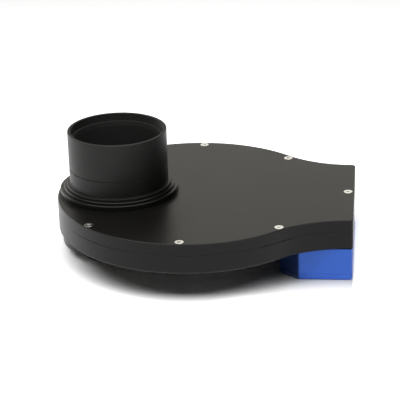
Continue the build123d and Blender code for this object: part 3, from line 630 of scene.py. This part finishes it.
class FILTERWHEEL_OT_screws(WheelOperator):
    """Builds the countersunk hexagon socket screws of the cover, rings and drive housing"""

    bl_idname = "filter_wheel.screws"
    bl_label = "Screws"

    def execute(self, context):
        size = context.scene.screw_settings
        around = np.radians(COVER_SCREW_ANGLES)
        cover = size.circle * np.stack([np.cos(around), np.sin(around)], axis=1) + (CAROUSEL_X, 0)
        cover = np.concatenate([cover, [(END_X - size.end_inset, 0.0)]])
        self.build("cover_screws", "cover_screw_heads", cover, size, 1)
        seat = context.scene.camera_ring_settings.stub_length
        for node, piece, side, face in (
            ("top_ring_screws", "ring_screw_heads", 1, None),
            ("camera_ring_screws", "camera_ring_screw_heads", -1, seat),
            ("drive_cover_screws", "drive_cover_screw_heads", -1, None),
        ):
            low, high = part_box(node)
            reach = size.head_radius
            across = (low.x + reach, high.x - reach)
            along = (low.y + reach, high.y - reach)
            places = np.array([(x, y) for x in across for y in along])
            self.build(node, piece, places, size, side, face)
        return {"FINISHED"}

    def build(self, node, name, places, size, side, face=None, segments=72):
        """Screws at these places, heads up for side 1 and down for side -1, level with any face given.

        The radius of the profile shrinks towards a hexagon by a weight that is 1 in the socket and 0
        outside it: r (1 - w + w cos 30 / cos(a mod 60 - 30)).
        """
        low, high = (corner.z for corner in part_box(node))
        if face is not None:
            low = face
        depth = high - low
        head = size.head_radius
        cone = head - size.shank_radius
        tip = cone / 4
        bottom = size.socket_depth
        corners = np.array(
            [
                (0, -bottom - size.drill_point, 0),
                (size.drill_radius, -bottom, 0),
                (size.socket_radius, -bottom, 0),
                (size.socket_radius, 0, size.edge),
                (head, 0, size.edge),
                (size.shank_radius, -cone, 0),
                (size.shank_radius, tip - depth, 0),
                (size.shank_radius - tip, -depth, 0),
                (0, -depth, 0),
            ]
        )
        profile = rounded(corners[:, :2], corners[:, 2])
        steps = np.linalg.norm(np.diff(profile, axis=0, prepend=profile[:1] - 1), axis=1)
        profile = profile[steps > MERGE_DISTANCE / 8]
        angle = np.linspace(0, FULL_TURN, segments, endpoint=False)[None, :]
        sixth = FULL_TURN / 6
        hexagon = np.cos(sixth / 2) / np.cos(angle % sixth - sixth / 2)
        radius = profile[:, :1]
        fade_start, fade_end = 1.1 * size.socket_radius, 1.35 * size.socket_radius
        in_socket = np.clip((fade_end - radius) / (fade_end - fade_start), 0, 1)
        in_socket = in_socket * (profile[:, 1:] > -bottom - 2 * size.drill_point)
        radius = radius * (1 - in_socket + in_socket * hexagon)
        random = np.random.default_rng(7)
        spun = angle[None] + random.uniform(0, FULL_TURN, len(places))[:, None, None]
        height = high if side > 0 else low
        points = np.stack(
            [
                places[:, 0, None, None] + radius * np.cos(spun),
                places[:, 1, None, None] + radius * np.sin(spun),
                np.broadcast_to(height + side * profile[None, :, 1:], spun.shape[:1] + radius.shape),
            ],
            axis=-1,
        )
        uv = np.stack(np.broadcast_arrays(angle[None] / FULL_TURN, radius[None] / head), axis=-1)
        uv = np.broadcast_to(uv, points.shape[:-1] + (2,)).reshape(-1, 2)
        quads = grid_quads(len(profile), segments)
        every = quads[None] + (np.arange(len(places)) * len(profile) * segments)[:, None, None]
        points = points.reshape(-1, 3)
        solid(name, points, every.reshape(-1, 4), "stainless_screw", [node], crease=25.0, uv=uv)


class FILTERWHEEL_OT_finishes(WheelOperator):
    """Gives every part its finish"""

    bl_idname = "filter_wheel.finishes"
    bl_label = "Finishes"

    def execute(self, context):
        look = context.scene.finish_settings
        finishes = {
            "black_anodised": blasted_black(look),
            "black_anodised_barrel": turned_black(look),
            "blue_anodised": blasted_blue(look),
            "stainless_screw": stainless(look),
            "polished_steel": ground_steel(),
            "carousel_black": matte_black("carousel_black", 0.42),
            "cell_black": matte_black("cell_black", 0.5),
            "magnet_nickel": nickel(),
            "motor_steel": drawn_steel(),
            "pinion_brass": brass(),
            "board_green": circuit_board(),
            "chip_black": moulded("chip_black", 0.5, 0.25 * MM),
            "socket_plastic": moulded("socket_plastic", 0.38, 0.4 * MM),
            "socket_metal": tinned(),
        }
        for record_material in frame["record"]["materials"]:
            slot = record_material["slot"]
            if slot.startswith("glass_"):
                finishes[slot] = filter_glass(slot, record_material["base_color"][:3])
        slots = {part["node"]: part["material_slot"] for part in frame["record"]["subparts"]}
        for name, node in NODES.items():
            wear(node, finishes[slots[name]])
        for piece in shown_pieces():
            if "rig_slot" in piece:
                wear(piece, finishes[piece["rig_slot"]])
        return {"FINISHED"}


class FILTERWHEEL_OT_studio(WheelOperator):
    """Sets up the floor, the lights and the camera"""

    bl_idname = "filter_wheel.studio"
    bl_label = "Studio"

    def execute(self, context):
        scene = context.scene
        studio = scene.studio_settings
        pale_floor(studio)
        lit_world(scene, studio)
        soft_lamp(studio)
        dark_size = (studio.dark_card_width, studio.dark_card_height)
        card("dark_card", studio.dark_card_place, dark_size, 0.0)
        light_size = (studio.light_card_width, studio.light_card_height)
        card("light_card", studio.light_card_place, light_size, studio.light_card_level)
        camera = bpy.data.objects.new("camera", bpy.data.cameras.new("camera"))
        scene.collection.objects.link(camera)
        camera.data.sensor_width = studio.sensor
        camera.data.lens = studio.lens
        camera.location = studio.camera_place
        aim = Euler((studio.camera_tilt, 0.0, studio.camera_heading)).to_matrix()
        roll = Matrix.Rotation(studio.camera_roll, 3, "Z")
        camera.rotation_euler = (aim @ roll).to_euler()
        scene.camera = camera
        scene.view_settings.view_transform = "Standard"
        return {"FINISHED"}


# ------------------------------------------------------------------ finishes
def wear(thing, finish):
    """Puts one finish on an object."""
    if not thing.material_slots:
        thing.data.materials.append(None)
    for slot in thing.material_slots:
        slot.material = finish.material


def toned(color, gain, lift=0.0):
    """A colour made darker or lighter by a gain, and lifted by an amount."""
    return tuple(channel * gain + lift for channel in color)


def blasted_black(look):
    """Bead-blasted black anodising: fine pits, faint clouds and slightly uneven sheen."""
    finish = Finish("black_anodised", ior=1.25)
    clouds = finish.grain(22 * MM, 4.0)
    pits = finish.grain(0.16 * MM, 2.0)
    specks = finish.grain(1.1 * MM, 3.0).smooth(0.62, 0.8)
    lifted = toned(look.black, 1.8, 0.001)
    finish.set(
        base_color=(clouds * 0.5 + specks * 0.35).blend(look.black, lifted),
        roughness=look.black_roughness + 0.07 * (clouds - 0.5) + 0.06 * (pits - 0.5),
    )
    finish.bump(pits * 0.8 + finish.grain(0.5 * MM, 2.0) * 0.4, 0.012 * MM)
    return finish


def turned_black(look):
    """Black anodising on a lathe-turned surface: fine feed marks around the axis.

    Inside the barrel it is matte, and darkest on the rim and the thread.
    """
    finish = Finish("black_anodised_barrel", ior=1.31)
    height = finish.axis("Z")
    feed_step = 0.11 * MM
    feed = (height * (FULL_TURN / feed_step)).sin()
    chatter = finish.grain(0.5 * MM, 3.0, stretch=(0.02, 0.02, 1.0))
    clouds = finish.grain(15 * MM, 3.0)
    lifted = toned(look.black, 1.6, 0.0005)
    reach = (finish.axis("X") ** 2 + finish.axis("Y") ** 2) ** 0.5
    barrel = bpy.context.scene.barrel_settings
    mouth_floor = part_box("nosepiece")[1].z - barrel.mouth_depth
    mouth = (reach < barrel.radius - barrel.edge) * (height > mouth_floor + WALL_MARGIN)
    bore = (reach < barrel.mouth_radius - WALL_MARGIN) * (height < mouth_floor + WALL_MARGIN)
    outside = (clouds * 0.6).blend(look.black, lifted)
    plain = look.barrel_roughness + 0.08 * (chatter - 0.5) + 0.05 * (clouds - 0.5)
    finish.set(
        base_color=bore.blend(mouth.blend(outside, look.mouth), look.bore),
        roughness=plain + (bore + mouth) * (look.bore_roughness - look.barrel_roughness),
    )
    finish.bump(feed * 0.25 + chatter * 0.7, 0.006 * MM)
    return finish


def blasted_blue(look):
    """Satin blue anodising on blasted aluminium, with painted shade on the cut back corners."""
    finish = Finish("blue_anodised", ior=1.4, metallic=0.25)
    clouds = finish.grain(18 * MM, 4.0)
    pits = finish.grain(0.14 * MM, 2.0)
    mottled = (clouds * 0.8 + pits * 0.2).smooth(0.3, 0.75).blend(toned(look.blue, 0.82), look.blue)
    # Painted shade: the blue darkens towards the housing's inner end, on the cut back corners that lie
    # in the body's shadow.
    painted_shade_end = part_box("drive_housing")[0].x + look.painted_shade_length
    outside_painted_shade = finish.axis("X").smooth(painted_shade_end - look.painted_shade_blend, painted_shade_end)
    finish.set(
        base_color=outside_painted_shade.blend(toned(look.blue, look.painted_shade_level), mottled),
        roughness=look.blue_roughness + 0.08 * (clouds - 0.5) + 0.08 * (pits - 0.5),
    )
    finish.bump(pits, 0.01 * MM)
    return finish


def stainless(look):
    """Bright stainless steel with turning marks around each screw head."""
    finish = Finish("stainless_screw", metallic=1.0)
    own = finish.make("ShaderNodeTexCoord", output="UV")
    radial = finish.make("ShaderNodeSeparateXYZ", None, {0: own}, output="Y")
    turning_phase = 190.0
    rings = (radial * turning_phase).sin()
    smudge = finish.grain(1.2 * MM, 3.0)
    finish.set(
        base_color=smudge.smooth(0.35, 0.7).blend(toned(look.steel, 0.8), look.steel),
        roughness=0.24 + 0.12 * (smudge - 0.5) + 0.02 * rings,
    )
    finish.bump(rings * 0.5 + smudge * 0.3, 0.004 * MM)
    return finish


def bare_metal(name, dark, light, rough, spread, size, detail=3.0, stretch=None, relief=0.0):
    """Metal whose marks, of a size, blend a dark and a light colour, roughen it and stand in relief."""
    finish = Finish(name, metallic=1.0)
    marks = finish.grain(size, detail, stretch)
    finish.set(base_color=marks.blend(dark, light), roughness=rough + spread * marks)
    if relief:
        finish.bump(marks, relief)
    return finish


def ground_steel():
    """Ground bearing steel."""
    colors = ((0.5, 0.5, 0.5), (0.68, 0.68, 0.67))
    marks = {"size": 0.3 * MM, "stretch": (0.1, 0.1, 1.0), "relief": 0.003 * MM}
    return bare_metal("polished_steel", *colors, rough=0.14, spread=0.12, **marks)


def matte_black(name, roughness):
    """Matte black anodising on milled aluminium, with faint cutter marks."""
    finish = Finish(name, ior=1.35)
    marks = finish.grain(0.6 * MM, 3.0, stretch=(0.15, 1.0, 1.0))
    clouds = finish.grain(9 * MM, 3.0)
    finish.set(
        base_color=clouds.blend((0.008, 0.008, 0.008), (0.018, 0.018, 0.019)),
        roughness=roughness + 0.12 * (marks - 0.5),
    )
    finish.bump(marks, 0.01 * MM)
    return finish


def nickel():
    """Nickel plating on a magnet."""
    colors = ((0.6, 0.57, 0.5), (0.74, 0.71, 0.65))
    return bare_metal("magnet_nickel", *colors, rough=0.18, spread=0.15, size=0.8 * MM)


def drawn_steel():
    """Drawn and plated motor can, with marks along its height."""
    colors = ((0.42, 0.42, 0.41), (0.6, 0.6, 0.59))
    marks = {"size": 0.4 * MM, "detail": 4.0, "stretch": (1.0, 1.0, 0.06), "relief": 0.006 * MM}
    return bare_metal("motor_steel", *colors, rough=0.28, spread=0.2, **marks)


def brass():
    """Machined brass."""
    finish = Finish("pinion_brass", metallic=1.0)
    marks = finish.grain(0.35 * MM, 3.0, stretch=(1.0, 1.0, 0.1))
    tarnish = finish.grain(3 * MM, 3.0)
    finish.set(
        base_color=tarnish.blend((0.55, 0.36, 0.13), (0.76, 0.56, 0.24)),
        roughness=0.22 + 0.18 * marks,
    )
    finish.bump(marks, 0.005 * MM)
    return finish


def circuit_board():
    """Circuit board with solder mask over copper tracks."""
    finish = Finish("board_green", coat_weight=0.4, coat_roughness=0.15)
    rows_per_metre = 260.0
    brick = {"Vector": finish.place, "Scale": rows_per_metre, "Mortar Size": 0.18}
    brick["Mortar Smooth"] = 0.3
    tracks = finish.make("ShaderNodeTexBrick", {"offset": 0.37, "squash": 1.4}, brick, output="Fac")
    weave = finish.grain(0.5 * MM, 2.0)
    finish.set(
        base_color=(tracks * 0.7 + weave * 0.3).blend((0.008, 0.07, 0.025), (0.02, 0.16, 0.06)),
        roughness=0.32 + 0.15 * weave,
    )
    finish.bump(tracks, 0.03 * MM)
    return finish


def moulded(name, roughness, grain_size):
    """Black moulded plastic with a fine eroded grain."""
    finish = Finish(name)
    grain = finish.grain(grain_size, 3.0)
    finish.set(
        base_color=grain.blend((0.012, 0.012, 0.012), (0.028, 0.028, 0.029)),
        roughness=roughness + 0.2 * (grain - 0.5),
    )
    finish.bump(grain, 0.02 * MM)
    return finish


def tinned():
    """Tinned steel shell."""
    colors = ((0.5, 0.5, 0.49), (0.72, 0.72, 0.7))
    marks = {"size": 0.7 * MM, "stretch": (0.1, 1.0, 1.0), "relief": 0.005 * MM}
    return bare_metal("socket_metal", *colors, rough=0.25, spread=0.15, **marks)


def filter_glass(name, color):
    """Coated filter glass: clear, tinted, with a thin uneven coating."""
    finish = Finish(name, transmission_weight=0.9, ior=1.52, coat_weight=0.6, coat_roughness=0.03)
    coating = finish.grain(12 * MM, 2.0)
    finish.set(base_color=coating.blend(toned(color, 0.8), color), roughness=0.02 + 0.03 * coating)
    return finish


# ------------------------------------------------------------------ studio
def staged(name, points, quads):
    """A piece of the stage, and the start of its empty material."""
    mesh = bpy.data.meshes.new(name)
    mesh.from_pydata(points, [], quads)
    piece = bpy.data.objects.new(name, mesh)
    bpy.context.scene.collection.objects.link(piece)
    piece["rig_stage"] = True
    material = bpy.data.materials.new(name)
    material.use_nodes = True
    material.node_tree.nodes.clear()
    mesh.materials.append(material)
    return piece, Wire(material.node_tree)


def pale_floor(studio):
    """A pale floor, clear from below. To the camera, reflections and glass it is brighter by a gain.

    To the camera, the floor carries a painted shadow round the drive housing's foot: the gain grows
    from 0 at the foot to its full value at a reach in front of it, as min(distance / reach, 1), roughly
    as the share of the room that the floor sees grows. On the far sides the distance counts many times
    over, because the lamp lights the floor there.
    """
    sweep = np.linspace(-FLOOR_REACH, FLOOR_REACH, 9)
    x, y = np.meshgrid(sweep, sweep, indexing="ij")
    points = np.stack([x, y, np.full_like(x, -FLOOR_GAP)], axis=-1).reshape(-1, 3)
    quads = grid_quads(len(sweep), len(sweep), wrap_columns=False)[:, ::-1]
    start = staged("floor", points.tolist(), quads.tolist())[1]
    # Painted shadow: to the camera, the floor's brightness falls towards the drive housing's foot.
    spot = start.make("ShaderNodeTexCoord", output="Object")
    beyond = []
    for letter, low, high in zip("XY", *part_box("drive_housing")):
        along = start.make("ShaderNodeSeparateXYZ", None, {0: spot}, output=letter)
        past = start.maths("MAXIMUM", low - along, (along - high) * PAINTED_SHADOW_FAR_SIDE)
        beyond.append(start.maths("MAXIMUM", past, 0.0))
    distance = (beyond[0] ** 2 + beyond[1] ** 2) ** 0.5
    outside_painted_shadow = start.maths("MINIMUM", distance / studio.painted_shadow_reach, 1.0)
    camera = start.make("ShaderNodeLightPath", output="Is Camera Ray")
    seen_with_painted_shadow = seen_directly(start) - camera * (1.0 - outside_painted_shadow)
    colors = [(level, level, level, 1) for level in (studio.floor, studio.floor_gain)]
    matte, more = [start.make("ShaderNodeBsdfDiffuse", None, {"Color": color}) for color in colors]
    brighter = start.make("ShaderNodeAddShader", None, {0: matte, 1: more})
    lit = start.make("ShaderNodeMixShader", None, {0: seen_with_painted_shadow, 1: matte, 2: brighter})
    below = start.make("ShaderNodeNewGeometry", output="Backfacing")
    clear = start.make("ShaderNodeBsdfTransparent")
    shown = start.make("ShaderNodeMixShader", None, {0: below, 1: lit, 2: clear})
    start.make("ShaderNodeOutputMaterial", None, {"Surface": shown})


def seen_directly(start):
    """1 for camera, glossy and transmission rays, 0 for the rest."""
    kinds = [
        start.make("ShaderNodeLightPath", output=name)
        for name in ("Is Camera Ray", "Is Glossy Ray", "Is Transmission Ray")
    ]
    return (kinds[0] + kinds[1] + kinds[2]) > 0.5


def lit_world(scene, studio):
    """An even pale room: white to look at, and dim as a light."""
    world = bpy.data.worlds.new("studio")
    world.use_nodes = True
    world.node_tree.nodes.clear()
    start = Wire(world.node_tree)
    strength = studio.sky + (studio.room - studio.sky) * seen_directly(start)
    values = {"Color": (*studio.room_color, 1), "Strength": strength}
    light = start.make("ShaderNodeBackground", None, values)
    start.make("ShaderNodeOutputWorld", None, {"Surface": light})
    scene.world = world


def soft_lamp(studio):
    """A wide soft lamp above that faces down. Its power is brightness times pi times its area."""
    data = bpy.data.lights.new("soft_lamp", "AREA")
    data.shape = "RECTANGLE"
    data.size = studio.lamp_width
    data.size_y = studio.lamp_depth
    data.energy = studio.lamp * np.pi * studio.lamp_width * studio.lamp_depth
    lamp = bpy.data.objects.new("soft_lamp", data)
    across, along = studio.lamp_offset
    lamp.location = (CAROUSEL_X + across, along, studio.lamp_height)
    bpy.context.scene.collection.objects.link(lamp)


def card(name, middle, size, level):
    """A card beside the part, met by reflections alone: black at level 0, lit above it."""
    width, height = size
    corners = [(0, -width / 2, 0), (0, width / 2, 0), (0, width / 2, height), (0, -width / 2, height)]
    panel, start = staged(name, corners, [(0, 1, 2, 3)])
    panel.location = (*middle, 0)
    for kind in ("camera", "diffuse", "transmission", "volume_scatter", "shadow"):
        setattr(panel, "visible_" + kind, False)
    glow = start.make("ShaderNodeEmission", None, {"Strength": level})
    start.make("ShaderNodeOutputMaterial", None, {"Surface": glow})


# ------------------------------------------------------------------ panel and registration
class FILTERWHEEL_PT_panel(bpy.types.Panel):
    """Lists the steps that build the filter wheel"""

    bl_label = "Filter Wheel"
    bl_idname = "FILTERWHEEL_PT_panel"
    bl_space_type = "VIEW_3D"
    bl_region_type = "UI"
    bl_category = "Filter Wheel"

    def draw(self, context):
        for operator in OPERATORS:
            self.layout.operator(operator.bl_idname)


SETTINGS = {
    "barrel_settings": BarrelSettings,
    "camera_ring_settings": CameraRingSettings,
    "screw_settings": ScrewSettings,
    "finish_settings": FinishSettings,
    "studio_settings": StudioSettings,
}
OPERATORS = (
    FILTERWHEEL_OT_nosepiece,
    FILTERWHEEL_OT_camera_ring,
    FILTERWHEEL_OT_screws,
    FILTERWHEEL_OT_finishes,
    FILTERWHEEL_OT_studio,
)
CLASSES = (*SETTINGS.values(), *OPERATORS, FILTERWHEEL_PT_panel)


def register():
    """Adds the classes and their settings to Blender."""
    for cls in CLASSES:
        bpy.utils.register_class(cls)
    for name, group in SETTINGS.items():
        setattr(bpy.types.Scene, name, PointerProperty(type=group))


def unregister():
    """Takes them out again."""
    for name in SETTINGS:
        delattr(bpy.types.Scene, name)
    for cls in reversed(CLASSES):
        bpy.utils.unregister_class(cls)


def main():
    """Builds the pieces in order."""
    register()
    bpy.ops.filter_wheel.nosepiece()
    bpy.ops.filter_wheel.camera_ring()
    bpy.ops.filter_wheel.screws()
    bpy.ops.filter_wheel.finishes()
    bpy.ops.filter_wheel.studio()


if __name__ == "__main__":
    main()
